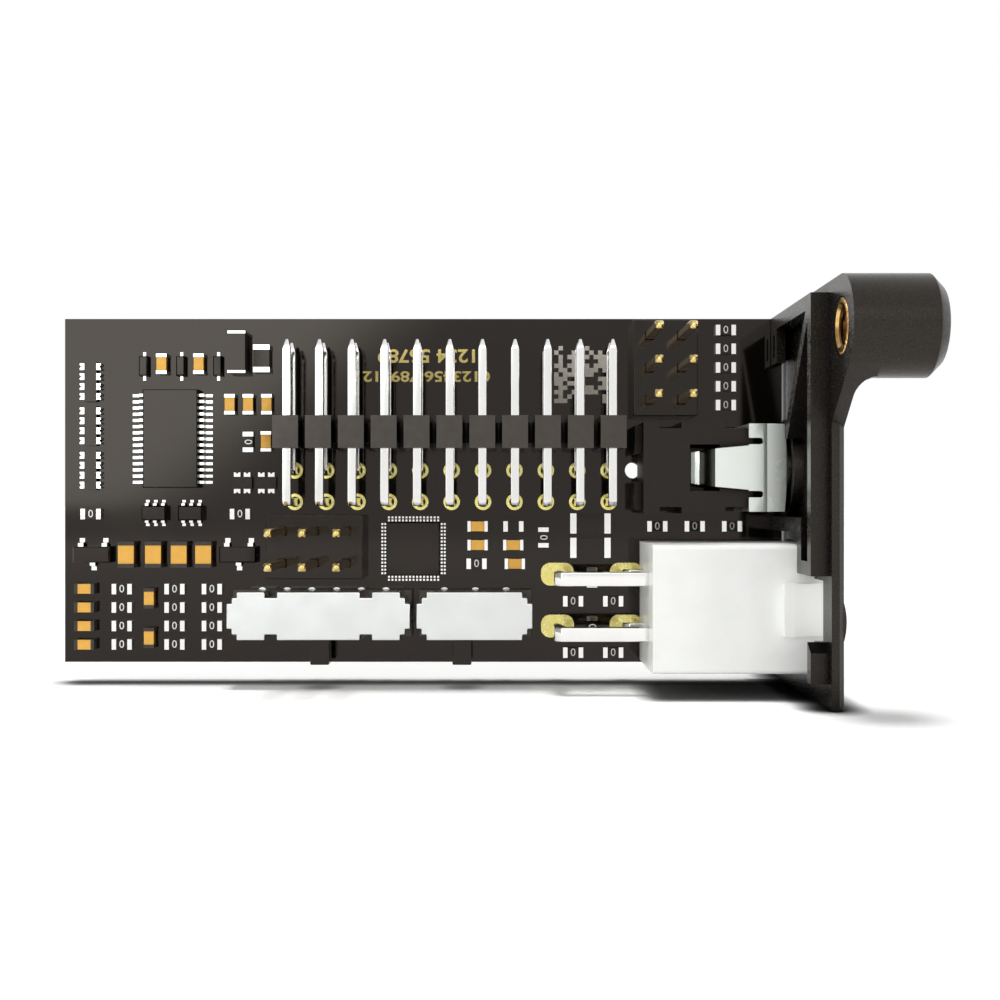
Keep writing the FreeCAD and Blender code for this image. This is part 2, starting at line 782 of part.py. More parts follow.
def lip_and_frame():
    """Roof and front wall inside the plate, and the stepped frame beside the power socket."""
    front_low = wall_front_h - wall
    side_v = power_v + power_wide / 2 + 0.9
    side_h = power_top_h + 0.25
    shelf_h = side_h + 1.35
    gap_low = power_v - ramp_wide / 2 - 0.77
    gap_high = power_v + ramp_wide / 2 + 0.77
    foot_v = power_v - power_wide / 2 - 0.1
    foot_lip = [(foot_v, front_low), (foot_v, wall_front_h), (gap_low, wall_front_h),
                (gap_low + lip_rise, front_low)]
    return [
        block(wall_u, plate_u, wall_top_v - wall, wall_top_v, board_play, wall_front_h),
        block(wall_u, plate_u, gap_high, wall_top_v, front_low, wall_front_h),
        across_u(foot_lip, wall_u, plate_u),
        block(wall_u, plate_u, side_v, side_v + wall, board_play, shelf_h),
        block(wall_u, plate_u, gap_high, side_v, side_h, shelf_h),
        block(wall_u, plate_u, gap_high, gap_high + 1.0, shelf_h, front_low),
        block(wall_u + 0.5, plate_u, side_v + wall - 0.4, side_v + wall, shelf_h, front_low),
    ]


def diagonal_brace():
    """Runs from the lip's upper corner down to the jack collar."""
    top_v = wall_top_v - wall
    high = wall_front_h - wall
    low = jack_high + clip_thick + 0.3
    corners = [(top_v, high - 0.6), (top_v, high), (top_v - 0.8, high), (jack_v + 2.2, low + 0.9),
               (jack_v + 2.2, low), (jack_v + 2.9, low)]
    return across_u(corners, wall_u, plate_u)


def slotted_tab():
    high_v = wall_top_v - wall
    low_v = high_v - tab_long
    tab = block(wall_u, wall_u + tab_thick, low_v, high_v, tab_low_h, tab_high_h)
    return tab.cut(block(wall_u, plate_u, low_v + 0.5, high_v - 0.4, tab_low_h + 0.8, tab_low_h + 1.5))


def jack_collar():
    """Half ring round the jack's nose, open towards the board."""
    ring = along_u(jack_v, jack_axis_h, 3.85, wall_u + 0.55, plate_u)
    ring = ring.cut(along_u(jack_v, jack_axis_h, 3.1, wall_u + 0.55, plate_u))
    return ring.common(block(wall_u, plate_u, jack_v - 5, jack_v + 5, board_play, 9))


def board_rails():
    rear = board_back_h - 1.5
    return [block(board_length - 2.5, plate_u, v - 1.2, v + 1.2, rear, board_back_h)
            for v in (2.0, board_width - 2.0)]


def finger_bead():
    """Low rounded bead on the outer face beside the power socket."""
    v = power_v - 0.5
    low_h = plate_front_h - 0.4 - bead_high
    bead = upright(outer_u + bead_out - bead_r, v, bead_r, low_h, low_h + bead_high)
    return bead.common(block(outer_u - 0.3, outer_u + bead_r, v - bead_r, v + bead_r, low_h, plate_front_h))


def end_bracket():
    """One moulding, with openings for the power socket, its latch, the jack and the insert."""
    pieces = lip_and_frame() + board_rails()
    pieces += [diagonal_brace(), slotted_tab(), jack_collar(), finger_bead()]
    body = plate_and_boss().fuse(pieces)
    latch = ramp_wide / 2 + 0.35
    half = power_wide / 2 + fit
    body = body.cut(block(plate_u, outer_u, power_v - half, power_v + half, -fit, power_top_h + fit))
    latch_h = wall_front_h - 1.8
    body = body.cut(block(plate_u, outer_u, power_v - latch, power_v + latch, power_top_h, latch_h))
    body = body.cut(along_u(jack_v, jack_axis_h, jack_nose_r + fit, plate_u, outer_u))
    body = body.cut(along_u(boss_v, boss_h, insert_r, plate_u, plate_u + insert_long))
    return [body.removeSplitter()]


def threaded_insert():
    """Brass sleeve with a lead-in at its mouth."""
    sleeve = along_u(boss_v, boss_h, insert_r, plate_u, plate_u + insert_long)
    bore = along_u(boss_v, boss_h, insert_bore_r, plate_u, plate_u + insert_long)
    mouth = Part.makeCone(insert_bore_r + 0.3, insert_bore_r, 0.3, V(plate_u, boss_v, boss_h), V(1, 0, 0))
    return [sleeve.cut(bore).cut(mouth)]


def build():
    os.makedirs("parts", exist_ok=True)
    keep("circuit_board", circuit_board())
    keep("long_header_body", long_header_body())
    keep("long_header_lower_pins", long_header_pins(0))
    keep("long_header_upper_pins", long_header_pins(1))
    keep("stack_header_body_a", stack_header_body(stack_a, 2, 3))
    keep("stack_header_pins_a", stack_header_pins(stack_a, 2, 3))
    keep("stack_header_body_b", stack_header_body(stack_b, 3, 2))
    keep("stack_header_pins_b", stack_header_pins(stack_b, 3, 2))
    keep("power_housing", power_housing())
    keep("power_lower_terminals", power_terminals(0))
    keep("power_upper_terminals", power_terminals(1))
    keep("jack_body", jack_body())
    keep("jack_contacts", jack_contacts())
    keep("jack_earth_clip", jack_earth_clip())
    mids = spread(selector_u, 2, selector_crimp)
    keep("selector_frame", switch_frame(selector_u, selector_length, selector_travel, mids))
    keep("selector_base", switch_base(selector_u, selector_length, selector_travel))
    keep("selector_lever", switch_lever(selector_u, selector_length, selector_offset, lever_carriage))
    keep("selector_tails", switch_tails(selector_u, selector_ways, selector_step))
    keep("mode_frame", switch_frame(mode_u, mode_length, mode_travel, ()))
    keep("mode_base", switch_base(mode_u, mode_length, mode_travel))
    keep("mode_lever", switch_lever(mode_u, mode_length, mode_offset, lever_carriage - 1.4))
    keep("mode_tails", switch_tails(mode_u, mode_ways, mode_step))
    grouped = (
        ("resistor", chips(resistor_spots(), chip_long, chip_wide, resistor_high, resistor_end)),
        ("capacitor", chips(capacitor_spots(), chip_long, chip_wide, capacitor_high, chip_end)),
        ("large_capacitor", chips(large_capacitor_spots(), large_long, large_wide, large_high, 0.3)),
        ("power_chip", chips([(42.48, 11.21, 0), (42.48, 9.25, 0)], 3.25, 1.62, 0.6, 0.5)),
        ("filter_chip", chips([(16.03, board_width - top_row_edge + 0.43, 1)], 2.2, 1.32, 0.85, 0.4)),
        ("tall_capacitor", chips([(14.18, board_width - top_row_edge + 0.87, 1)], 3.35, 1.42, 1.7, 0.2)),
        ("array", arrays()),
        ("pair_array", pair_arrays()),
        ("converter", converter()),
        ("processor", processor()),
        ("transistor", small_transistors()),
        ("dual_transistor", dual_transistors()),
        ("diode", diodes()),
    )
    for name, (bodies, ends) in grouped:
        keep(name + "_bodies", bodies)
        keep(name + "_leads", ends)
    keep("end_bracket", end_bracket())
    keep("threaded_insert", threaded_insert())


build()
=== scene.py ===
import json
import math

import bmesh
import bpy
from mathutils import Matrix, Vector


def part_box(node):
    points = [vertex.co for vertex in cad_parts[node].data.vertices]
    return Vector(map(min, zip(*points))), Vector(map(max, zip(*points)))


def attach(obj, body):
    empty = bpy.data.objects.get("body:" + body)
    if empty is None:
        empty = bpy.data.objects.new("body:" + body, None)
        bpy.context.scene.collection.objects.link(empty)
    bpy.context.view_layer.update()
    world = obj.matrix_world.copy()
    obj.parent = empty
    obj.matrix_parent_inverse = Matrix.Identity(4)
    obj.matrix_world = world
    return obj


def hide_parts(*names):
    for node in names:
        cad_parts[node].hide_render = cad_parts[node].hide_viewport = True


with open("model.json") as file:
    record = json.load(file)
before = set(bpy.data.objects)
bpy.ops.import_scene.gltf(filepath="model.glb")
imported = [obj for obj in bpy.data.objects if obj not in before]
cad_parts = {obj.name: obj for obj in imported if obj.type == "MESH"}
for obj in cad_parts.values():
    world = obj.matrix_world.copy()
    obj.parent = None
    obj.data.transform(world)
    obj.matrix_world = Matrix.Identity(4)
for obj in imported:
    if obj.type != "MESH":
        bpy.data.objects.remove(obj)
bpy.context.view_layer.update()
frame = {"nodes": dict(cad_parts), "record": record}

mm = 0.001
quarter = math.pi / 2

# corners closer than this are one corner, and ends closer than this are level
weld = 1e-7
level_within = 1e-6

# Places on the board start at its lower left corner: u runs along it, v up it, h out of the component face.
board_low, board_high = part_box("circuit_board")
tail_end_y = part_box("selector_tails")[1].y

# marks on the board, in board millimetres
line_one = dict(words="1234 56789", centre=(29.25, 24.75), size=(7.85, 1.13))
line_two = dict(words="0123456 789012", centre=(29.25, 23.09), size=(10.28, 0.89))
patch_centre = (41.71, 23.25)
patch_columns = 12
patch_rows = 13
patch_cell = 0.355
bare_chip = (36.28, 10.97)
chip_mark = 0.86
ink_thick = 0.012
stroke_bold = 0.022
stroke_thick = 0.004

# the low left chips have dark ends: those nearer the corner than this
dark_end_corner = (8.0, 7.0)

# pads and solder, in millimetres: outer and inner radius, or foot, neck and height
pad_thick = 0.035
header_pad = (0.665, 0.43)
header_hole = (0.43, 0.2)
power_pad = (0.95, 0.2)
power_pad_stretch = 1.42
long_pad = (2.66, 1.84, 0.74)
switch_pad = (0.4, 0.2)
jack_pad = (0.8, 0.5)
header_joint = (0.66, 0.34, 0.85)
power_joint = (1.05, 0.62, 0.95)
switch_joint = (0.55, 0.27, 0.7)
jack_joint = (0.75, 0.42, 0.8)
solder_sides = 20
solder_steps = 5

# the processor's leads, in millimetres from its middle: the bend, half its width, where they go under;
# painted shade lies on the bend and where they go under
lead_bend = 2.4
lead_bend_half = 0.045
lead_under = 2.2

# threaded insert, in millimetres
sleeve_wall = 0.72
sleeve_steps = 104
thread_pitch = 0.5
thread_deep = 0.22
cuts_to_a_turn = 8
knurl_teeth = 26
knurl_deep = 0.2
knurl_flat = 0.6
knurl_start = 0.25
mouth_edge = 0.1
mouth_flare = 0.28
mouth_deep = 0.2

# broken edges: what counts as flat and as an edge, in degrees, and how wide a round is with more steps
flat_angle = 1.0
edge_angle = 35.0
wide_round = 0.15

# which faces of the jack take painted shade or a painted highlight, by how far they lean along the board or
# out of it
rear_lean = 0.6
roll_lean = 0.12
front_lean = 0.1
end_lean = 0.95

# the photograph's camera, square on to the board
camera_away = 112.4 * mm
camera_x = 2.7 * mm
camera_z = 14.85 * mm
camera_lens = 50.0
camera_sensor = 36.0
camera_near = 0.005


def on_board(u, v, h=0.0):
    return Vector((board_low.x + u * mm, board_low.y - h * mm, board_low.z + v * mm))


def tone(red, green, blue):
    """A colour written as it shows on screen, turned into light values."""
    def level(value):
        value = value / 255
        return value / 12.92 if value <= 0.04045 else ((value + 0.055) / 1.055) ** 2.4
    return (level(red), level(green), level(blue), 1.0)


def add(tree, kind, inputs=None, **settings):
    """A node with its settings, and its inputs either linked or set."""
    made = tree.nodes.new(kind)
    for key, value in settings.items():
        setattr(made, key, value)
    for key, value in (inputs or {}).items():
        if isinstance(value, bpy.types.NodeSocket):
            tree.links.new(value, made.inputs[key])
        else:
            made.inputs[key].default_value = value
    return made


def sum_of(tree, kind, first, second, third=None):
    """One step of arithmetic on values or sockets."""
    inputs = {0: first, 1: second}
    if third is not None:
        inputs[2] = third
    return add(tree, "ShaderNodeMath", inputs, operation=kind).outputs[0]


def scaled(tree, colour, amount):
    return add(tree, "ShaderNodeVectorMath", {0: colour, "Scale": amount}, operation="SCALE").outputs[0]


def mixed(tree, factor, first, second):
    return add(tree, "ShaderNodeMix", {"Factor": factor, 6: first, 7: second}, data_type="RGBA").outputs[2]


def blended(tree, factor, low, high):
    return add(tree, "ShaderNodeMix", {"Factor": factor, 2: low, 3: high}, data_type="FLOAT").outputs[0]


def paint_of(material):
    """A finish's tree, its shader and the colour that goes into it."""
    tree = material.node_tree
    shader = tree.nodes["Principled BSDF"]
    return tree, shader, shader.inputs["Base Color"].links[0].from_socket


# Finishes

grain_rough = 0.55
plain_shine = 0.5
hollow_rays = 6
mask_flat = 0.7
ply_bands = dict(Scale=900.0, Distortion=1.5, Detail=2.0)
cut_rough = 0.7
black_tones = (tone(11, 9, 8), tone(15, 13, 11))
tin_tones = (tone(232, 231, 229), tone(237, 236, 234))
bend_shade_tone = tone(40, 37, 34)
warm_gloss = dict(IOR=1.43, Specular_Tint=(1.0, 0.86, 0.77, 1.0))


def grain(tree, size, stretch=(1, 1, 1), detail=3.0):
    """Noise whose cells are about the given size in millimetres, on Object coordinates."""
    place = add(tree, "ShaderNodeTexCoord").outputs["Object"]
    turned = add(tree, "ShaderNodeMapping", {"Vector": place, "Scale": stretch})
    return add(tree, "ShaderNodeTexNoise", {
        "Vector": turned.outputs["Vector"], "Scale": 1 / (size * mm), "Detail": detail,
        "Roughness": grain_rough,
    }).outputs["Fac"]


def between(tree, factor, low, high, start=0.3, stop=0.7):
    return add(tree, "ShaderNodeMapRange", {
        "Value": factor, "From Min": start, "From Max": stop, "To Min": low, "To Max": high,
    }).outputs["Result"]


def two_tones(tree, factor, first, second, start=0.35, stop=0.65):
    ramp = add(tree, "ShaderNodeValToRGB", {"Fac": factor})
    ramp.color_ramp.elements[0].position = start
    ramp.color_ramp.elements[0].color = first
    ramp.color_ramp.elements[1].position = stop
    ramp.color_ramp.elements[1].color = second
    return ramp.outputs["Color"]


def finish(name, first, second, patch, rough, fine, bump, stretch=(1, 1, 1), **sockets):
    """A surface in two close tones, with its own gloss range and a fine raised grain, in millimetres."""
    material = bpy.data.materials.new(name)
    material.use_nodes = True
    tree = material.node_tree
    shader = tree.nodes["Principled BSDF"]
    broad = grain(tree, patch, stretch)
    tree.links.new(two_tones(tree, broad, first, second), shader.inputs["Base Color"])
    tree.links.new(between(tree, broad, rough[0], rough[1]), shader.inputs["Roughness"])
    raised = add(tree, "ShaderNodeBump", {
        "Height": grain(tree, fine, stretch, 2.0), "Strength": 1.0, "Distance": bump * mm,
    })
    tree.links.new(raised.outputs["Normal"], shader.inputs["Normal"])
    for key, value in sockets.items():
        shader.inputs[key.replace("_", " ")].default_value = value
    return material


def open_share(tree, reach, depth, rays):
    """One in the open, and less the more of the surroundings within reach is filled."""
    near = add(tree, "ShaderNodeAmbientOcclusion", {"Distance": reach}, samples=rays)
    return sum_of(tree, "POWER", near.outputs["AO"], depth)


def shade_hollows(material, reach, depth):
    """Paints shade into narrow grooves and corners: colour and gloss fall to black within a reach in
    millimetres.
    """
    tree, shader, paint = paint_of(material)
    kept = open_share(tree, reach * mm, depth, hollow_rays)
    tree.links.new(scaled(tree, paint, kept), shader.inputs["Base Color"])
    tree.links.new(sum_of(tree, "MULTIPLY", kept, plain_shine), shader.inputs["Specular IOR Level"])


def black_gloss(name, patch, rough, fine):
    """Dark moulded plastic with a warm gloss."""
    return finish(name, *black_tones, patch, rough, fine, 0.0002, **warm_gloss)


def board_finish():
    """Glossy dark solder mask over a faint weave, and cut laminate on the edges."""
    material = finish(
        "solder_mask", tone(11, 9, 8), tone(14, 12, 10), 9.0, (0.05, 0.08), 0.7, 0.0002, **warm_gloss)
    tree, shader, mask = paint_of(material)
    gloss = shader.inputs["Roughness"].links[0].from_socket
    place = add(tree, "ShaderNodeTexCoord")
    facing = add(tree, "ShaderNodeSeparateXYZ", {"Vector": place.outputs["Normal"]}).outputs["Y"]
    flat = add(tree, "ShaderNodeMath", {0: facing}, operation="ABSOLUTE").outputs["Value"]
    on_face = sum_of(tree, "GREATER_THAN", flat, mask_flat)
    plies = add(tree, "ShaderNodeTexWave", {
        "Vector": place.outputs["Object"], **ply_bands,
    }, wave_type="BANDS", bands_direction="Y").outputs["Fac"]
    cut = two_tones(tree, plies, tone(52, 44, 32), tone(86, 74, 52))
    tree.links.new(mixed(tree, on_face, cut, mask), shader.inputs["Base Color"])
    tree.links.new(blended(tree, on_face, cut_rough, gloss), shader.inputs["Roughness"])
    return material


def bent_lead_tin(package):
    """Tin plate on leads round a square package, with painted shade at each bend and where the lead goes
    under.
    """
    material = finish("bent_lead_tin", *tin_tones, 1.5, (0.07, 0.11), 0.4, 0.0001, Metallic=1.0)
    tree, shader, plate = paint_of(material)
    low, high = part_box(package)
    middle = (low + high) / 2
    place = add(tree, "ShaderNodeTexCoord").outputs["Object"]
    away = add(tree, "ShaderNodeVectorMath", {0: place, 1: middle}, operation="SUBTRACT").outputs["Vector"]
    plain = add(tree, "ShaderNodeVectorMath", {0: away}, operation="ABSOLUTE").outputs["Vector"]
    parts = add(tree, "ShaderNodeSeparateXYZ", {"Vector": plain}).outputs
    reach = sum_of(tree, "MAXIMUM", parts["X"], parts["Z"])
    bend = sum_of(tree, "COMPARE", reach, lead_bend * mm, lead_bend_half * mm)
    under = sum_of(tree, "LESS_THAN", reach, lead_under * mm)
    shade = sum_of(tree, "MAXIMUM", bend, under)
    # painted shade: the bend band and the part going under take the dark bend shade tone
    tree.links.new(mixed(tree, shade, plate, bend_shade_tone), shader.inputs["Base Color"])
    return material


finishes = {
    "black_board": board_finish(),
    "black_plastic": black_gloss("header_plastic", 0.8, (0.05, 0.09), 0.3),
    "bracket_plastic": finish(
        "bracket_plastic", tone(18, 16, 14), tone(32, 29, 26), 0.14, (0.2, 0.28), 0.12, 0.02,
        IOR=1.4, Specular_Tint=(1.0, 0.88, 0.78, 1.0)),
    "white_nylon": finish(
        "white_nylon", tone(243, 244, 240), tone(247, 248, 245), 2.5, (0.33, 0.45), 0.25, 0.002,
        Subsurface_Weight=0.04, Subsurface_Scale=0.0005),
    "tin": finish("tin_plate", *tin_tones, 1.5, (0.07, 0.11), 0.4, 0.0001, (1, 1, 0.25), Metallic=1.0),
    "gold": finish(
        "gold_flash", tone(214, 188, 116), tone(232, 210, 146), 0.6, (0.05, 0.1), 0.12, 0.0006,
        (1, 0.25, 1), Metallic=1.0),
    "sheet_steel": finish(
        "bright_sheet", tone(212, 213, 212), tone(217, 218, 217), 2.0, (0.18, 0.24), 0.4, 0.0002,
        Metallic=1.0),
    "brass_insert": finish(
        "turned_brass", tone(222, 172, 100), tone(240, 200, 134), 0.5, (0.16, 0.26), 0.1, 0.002,
        Metallic=1.0),
    "ceramic_black": finish(
        "chip_glaze", tone(13, 11, 10), tone(18, 16, 15), 0.4, (0.07, 0.12), 0.2, 0.0002, **warm_gloss),
    "ceramic_orange": finish(
        "orange_ceramic", tone(228, 170, 66), tone(233, 177, 76), 0.5, (0.35, 0.5), 0.07, 0.001),
    "moulded_black": black_gloss("moulded_package", 0.3, (0.06, 0.1), 0.2),
}
long_header_plastic = finish(
    "long_header_plastic", tone(62, 59, 55), tone(66, 63, 59), 0.8, (0.1, 0.16), 0.3, 0.0002, **warm_gloss)
switch_plastic = finish(
    "switch_plastic", tone(56, 53, 48), tone(62, 59, 54), 0.8, (0.2, 0.3), 0.3, 0.0004, **warm_gloss)
clip_sheet = finish(
    "clip_sheet", tone(228, 233, 227), tone(232, 237, 231), 2.5, (0.2, 0.24), 0.8, 0.0, Metallic=0.8)
# painted highlight: a pale, nearly plain finish for the clip's roll, where it would reflect the light
roll_highlight_sheet = finish(
    "roll_highlight_sheet", tone(242, 247, 240), tone(245, 250, 244), 2.5, (0.24, 0.3), 0.8, 0.0, Metallic=0.08)
# painted shade: a dark metal for the clip's dip, a painted dark reflection of the jack beside it
dip_shade_sheet = finish(
    "dip_shade_sheet", tone(96, 97, 92), tone(108, 109, 104), 2.5, (0.16, 0.2), 0.8, 0.0, Metallic=1.0)
jack_plastic = black_gloss("jack_plastic", 0.8, (0.06, 0.1), 0.3)
# painted shade in the grooves and corners of these finishes
shade_hollows(jack_plastic, 1.6, 2.2)
shade_hollows(finishes["bracket_plastic"], 3.0, 1.2)
for slot in ("ceramic_black", "moulded_black", "ceramic_orange"):
    shade_hollows(finishes[slot], 2.0, 2.5)
shade_hollows(long_header_plastic, 1.0, 2.5)
dark_end_tin = finish(
    "dark_end_tin", tone(40, 37, 34), tone(54, 50, 46), 0.3, (0.35, 0.5), 0.1, 0.002, Metallic=0.3)
shaded_brass = finish(
    "shaded_brass", tone(98, 66, 38), tone(128, 90, 54), 0.3, (0.25, 0.4), 0.1, 0.002, Metallic=1.0)
pad_gold = finish(
    "pad_gold", tone(226, 212, 124), tone(236, 224, 146), 0.4, (0.2, 0.3), 0.1, 0.001, Metallic=0.7)
# painted shade: a black matte finish for hole mouths, the jack's contacts and the jack's rear wall
hole_shade = finish(
    "hole_shade", tone(8, 7, 6), tone(14, 12, 10), 0.4, (0.4, 0.5), 0.1, 0.001, IOR=1.3)
ink_yellow = finish(
    "printed_yellow", tone(230, 208, 116), tone(240, 220, 136), 0.25, (0.45, 0.6), 0.06, 0.003)
ink_pale = finish(
    "printed_grey", tone(196, 190, 178), tone(210, 204, 192), 0.25, (0.45, 0.6), 0.06, 0.003)
ink_white = finish(
    "printed_white", tone(224, 223, 220), tone(240, 239, 236), 0.15, (0.45, 0.6), 0.05, 0.002)
solder = finish(
    "solder", tone(214, 215, 214), tone(234, 235, 234), 0.3, (0.18, 0.3), 0.15, 0.004, Metallic=1.0)


# Mesh helpers

def link(name, mesh, material):
    piece = bpy.data.objects.new(name, mesh)
    bpy.context.scene.collection.objects.link(piece)
    mesh.materials.clear()
    mesh.materials.append(material)
    return piece


def settle(piece, body="card"):
    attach(piece, body)
    return piece


def plain_mesh(piece):
    """The piece's mesh with its modifiers worked in, and the modifiers gone."""
    mesh = bpy.data.meshes.new_from_object(piece.evaluated_get(bpy.context.evaluated_depsgraph_get()))
    piece.modifiers.clear()
    piece.data = mesh
    return mesh


def merged(node):
    """A copy of a CAD node's mesh with its doubled corners joined."""
    bm = bmesh.new()
    bm.from_mesh(frame["nodes"][node].data)
    bmesh.ops.remove_doubles(bm, verts=bm.verts, dist=weld)
    return bm


def islands(faces):
    """Groups of faces that hang together, as boxes."""
    left = set(faces)
    boxes = []
    for first in faces:
        if first not in left:
            continue
        left.discard(first)
        group = [first]
        for face in group:
            for edge in face.edges:
                for other in edge.link_faces:
                    if other in left:
                        left.discard(other)
                        group.append(other)
        corners = [vert.co for face in group for vert in face.verts]
        low = Vector(min(corner[i] for corner in corners) for i in range(3))
        high = Vector(max(corner[i] for corner in corners) for i in range(3))
        boxes.append((low, high))
    return boxes


def solids_of(*nodes):
    boxes = []
    for node in nodes:
        bm = merged(node)
        boxes += islands(list(bm.faces))
        bm.free()
    return boxes


def tails_of(*nodes):
    """Centres of the cut ends behind the board."""
    ends = []
    for node in nodes:
        bm = merged(node)
        cut = [f for f in bm.faces if all(abs(v.co.y - tail_end_y) < level_within for v in f.verts)]
        ends += [(low + high) / 2 for low, high in islands(cut)]
        bm.free()
    return ends


def in_dark_end_corner(spot):
    corner = on_board(*dark_end_corner)
    return spot.x < corner.x and spot.z < corner.z


def softened(node, width, body="card", name=None, material=None, keep=None):
    """The CAD node, or the part of it that is kept, with edges broken as a mould or a press leaves them."""
    bm = merged(node)
    if keep:
        bmesh.ops.delete(bm, geom=[v for v in bm.verts if not keep(v.co)], context="VERTS")
    bmesh.ops.dissolve_limit(bm, angle_limit=math.radians(flat_angle), verts=bm.verts, edges=bm.edges)
    name = name or node + "_shape"
    mesh = bpy.data.meshes.new(name)
    bm.to_mesh(mesh)
    bm.free()
    slot = slot_of[node]
    piece = link(name, mesh, material or finishes[slot])
    if width:
        mesh.shade_smooth()
        edge = piece.modifiers.new("edge", "BEVEL")
        edge.width = width * mm
        edge.segments = 4 if width > wide_round else 2
        edge.limit_method = "ANGLE"
        edge.angle_limit = math.radians(edge_angle)
        even = piece.modifiers.new("even", "WEIGHTED_NORMAL")
        even.keep_sharp = True
        plain_mesh(piece)
    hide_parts(node)
    return settle(piece, body)


# Node trees for what repeats

def new_tree(name, **sizes):
    """A geometry tree that takes points, named sizes and a finish, and gives back one mesh."""
    tree = bpy.data.node_groups.new(name, "GeometryNodeTree")
    tree.interface.new_socket("Points", in_out="INPUT", socket_type="NodeSocketGeometry")
    for key, (kind, value) in sizes.items():
        made = tree.interface.new_socket(key, in_out="INPUT", socket_type="NodeSocket" + kind)
        made.default_value = value
    tree.interface.new_socket("Finish", in_out="INPUT", socket_type="NodeSocketMaterial")
    tree.interface.new_socket("Mesh", in_out="OUTPUT", socket_type="NodeSocketGeometry")
    return tree, tree.nodes.new("NodeGroupInput").outputs


def close_tree(tree, given, geometry):
    joined = add(tree, "GeometryNodeRealizeInstances", {"Geometry": geometry})
    painted = add(tree, "GeometryNodeSetMaterial", {
        "Geometry": joined.outputs["Geometry"], "Material": given["Finish"],
    })
    add(tree, "NodeGroupOutput", {"Mesh": painted.outputs["Geometry"]})
    return tree


def on_points(tree, given, shape, turn, scale=(1, 1, 1)):
    return add(tree, "GeometryNodeInstanceOnPoints", {
        "Points": given["Points"], "Instance": shape, "Rotation": turn, "Scale": scale,
    }).outputs["Instances"]


def pad_tree():
    """Flat rings that lie on the board round each point, drawn out along the board by Stretch."""
    tree, given = new_tree("ring_pads", Outer=("Float", 0.001), Inner=("Float", 0.0005),
                           Thick=("Float", 0.00003), Stretch=("Float", 1.0), Segments=("Int", 40))
    total = sum_of(tree, "ADD", given["Outer"], given["Inner"])
    middle = sum_of(tree, "MULTIPLY", total, 0.5)
    wide = sum_of(tree, "SUBTRACT", given["Outer"], given["Inner"])
    path = add(tree, "GeometryNodeCurvePrimitiveCircle", {
        "Resolution": given["Segments"], "Radius": middle,
    })
    section = add(tree, "GeometryNodeCurvePrimitiveQuadrilateral", {
        "Width": wide, "Height": given["Thick"],
    })
    ring = add(tree, "GeometryNodeCurveToMesh", {
        "Curve": path.outputs["Curve"], "Profile Curve": section.outputs["Curve"],
    })
    flat = add(tree, "GeometryNodeSetShadeSmooth", {
        "Geometry": ring.outputs["Mesh"], "Shade Smooth": False,
    }).outputs["Geometry"]
    scale = add(tree, "ShaderNodeCombineXYZ", {"X": given["Stretch"], "Y": 1.0, "Z": 1.0}).outputs[0]
    return close_tree(tree, given, on_points(tree, given, flat, (quarter, 0, 0), scale))


def long_pad_tree():
    """Flat pads with rounded corners that lie on the component face, the long way along the board."""
    tree, given = new_tree("long_pads", Long=("Float", 0.0026), Wide=("Float", 0.0018),
                           Corner=("Float", 0.0007), Thick=("Float", 0.00003), Segments=("Int", 10))
    outline = add(tree, "GeometryNodeCurvePrimitiveQuadrilateral", {
        "Width": given["Long"], "Height": given["Wide"],
    })
    rounded = add(tree, "GeometryNodeFilletCurve", {
        "Curve": outline.outputs["Curve"], "Count": given["Segments"], "Radius": given["Corner"],
    }, mode="POLY")
    face = add(tree, "GeometryNodeFillCurve", {"Curve": rounded.outputs["Curve"]})
    slab = add(tree, "GeometryNodeExtrudeMesh", {
        "Mesh": face.outputs["Mesh"], "Offset Scale": given["Thick"], "Individual": False,
    })
    base = add(tree, "GeometryNodeFlipFaces", {"Mesh": face.outputs["Mesh"]})
    both = add(tree, "GeometryNodeJoinGeometry", {"Geometry": slab.outputs["Mesh"]})
    tree.links.new(base.outputs["Mesh"], both.inputs["Geometry"])
    whole = add(tree, "GeometryNodeMergeByDistance", {
        "Geometry": both.outputs["Geometry"], "Distance": weld,
    }).outputs["Geometry"]
    return close_tree(tree, given, on_points(tree, given, whole, (quarter, 0, 0)))


def joint_tree():
    """Solder risen round each tail behind the board."""
    tree, given = new_tree("solder_joints", Foot=("Float", 0.0006), Neck=("Float", 0.0003),
                           Height=("Float", 0.0008))
    cone = add(tree, "GeometryNodeMeshCone", {
        "Vertices": solder_sides, "Side Segments": solder_steps,
        "Radius Top": given["Neck"], "Radius Bottom": given["Foot"], "Depth": given["Height"],
    })
    place = add(tree, "GeometryNodeInputPosition").outputs["Position"]
    up = add(tree, "ShaderNodeSeparateXYZ", {"Vector": place}).outputs["Z"]
    share = sum_of(tree, "DIVIDE", up, given["Height"])
    rest = sum_of(tree, "SUBTRACT", 1.0, share)
    waist = sum_of(tree, "MULTIPLY", share, rest)
    keep = sum_of(tree, "MULTIPLY_ADD", waist, -1.0, 1.0)
    pull = add(tree, "ShaderNodeCombineXYZ", {"X": keep, "Y": keep, "Z": 1.0}).outputs[0]
    drawn = add(tree, "ShaderNodeVectorMath", {0: place, 1: pull}, operation="MULTIPLY").outputs[0]
    shaped = add(tree, "GeometryNodeSetPosition", {"Geometry": cone.outputs["Mesh"], "Position": drawn})
    smooth = add(tree, "GeometryNodeSetShadeSmooth", {"Geometry": shaped.outputs["Geometry"]})
    return close_tree(tree, given, on_points(tree, given, smooth.outputs["Geometry"], (-quarter, 0, 0)))


